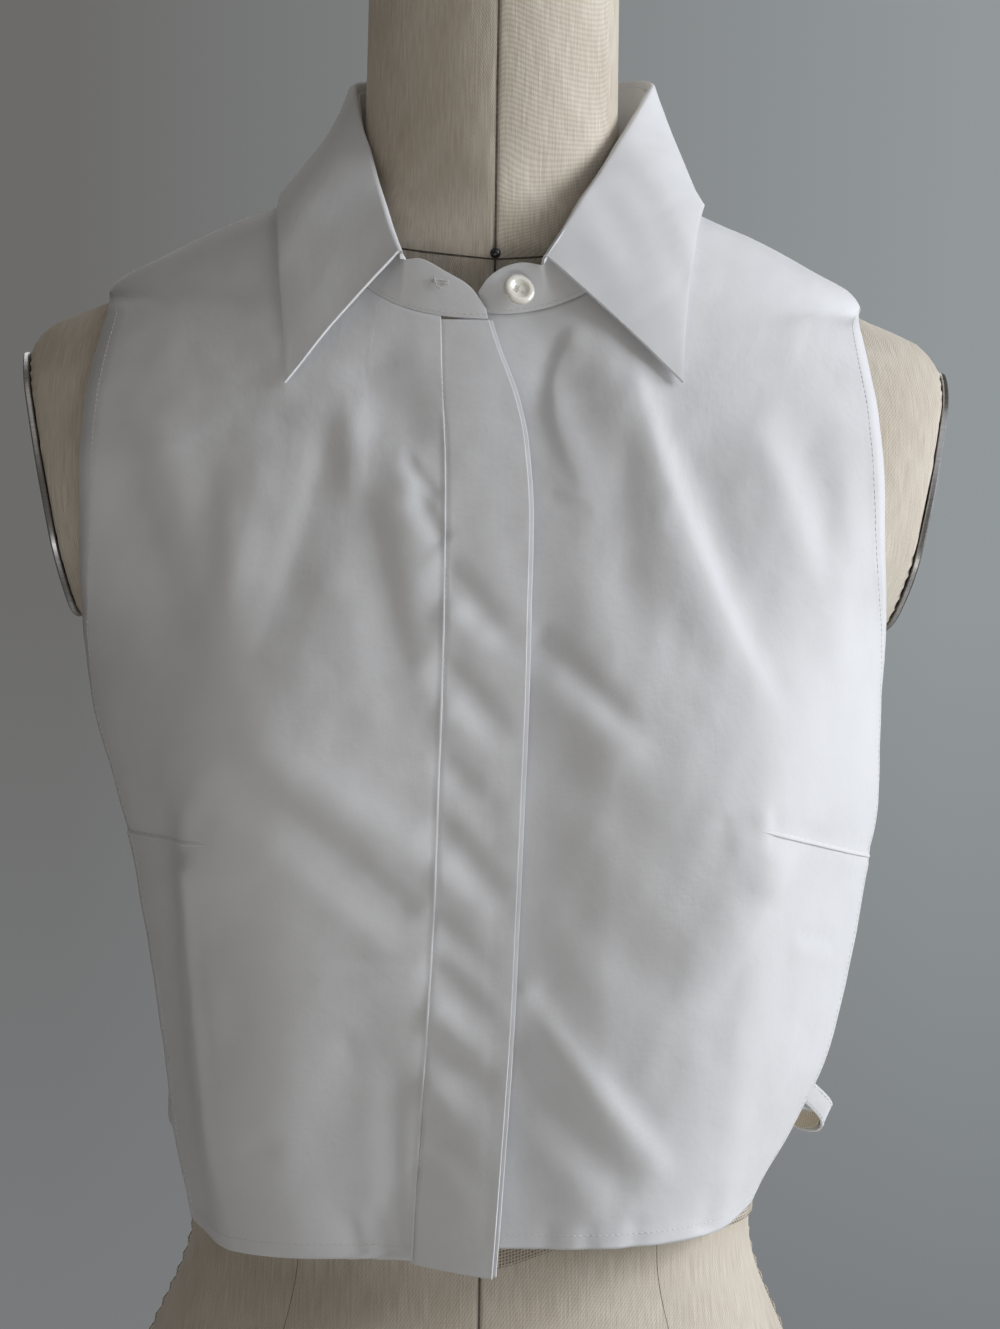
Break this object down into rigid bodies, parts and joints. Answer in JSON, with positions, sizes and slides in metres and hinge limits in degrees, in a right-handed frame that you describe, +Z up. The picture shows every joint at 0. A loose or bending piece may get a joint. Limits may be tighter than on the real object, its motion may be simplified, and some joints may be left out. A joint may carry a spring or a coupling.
{
  "type": "detachable shirt collar on a dress form",
  "caption": "Crisp cotton dickey: a pointed shirt collar on a sleeveless cropped bib with a covered front closing, worn on a linen-covered dress form torso.",
  "frame": {"origin": "centre of the dress form's flat base", "axes": "+Z up, the chest faces -Y, the wearer's left is +X"},
  "size_m": [0.3712, 0.25, 0.745],
  "materials": {
    "white_poplin": "crisp plain-weave cotton, matte",
    "natural_linen": "slubby plain-weave linen, matte",
    "woven_tape": "open-weave cotton tape, matte",
    "brushed_steel": "brushed",
    "pearl_button": "pearly gloss",
    "dark_pin": "satin dark paint"
  },
  "bodies": {
    "root": {"dress_form": "natural_linen", "arm_plate_right": "brushed_steel", "arm_plate_left": "brushed_steel", "waist_tape": "woven_tape", "neck_pin": "dark_pin", "right_front": "white_poplin", "right_placket": "white_poplin", "right_placket_under": "white_poplin", "left_front": "white_poplin", "back": "white_poplin", "collar_stand": "white_poplin", "collar_fall": "white_poplin", "collar_button": "pearl_button", "fly_button_1": "pearl_button", "fly_button_2": "pearl_button", "fly_button_3": "pearl_button", "fly_button_4": "pearl_button", "side_strap_left": "white_poplin", "side_strap_right": "white_poplin", "strap_slider": "brushed_steel"}
  },
  "joints": []
}
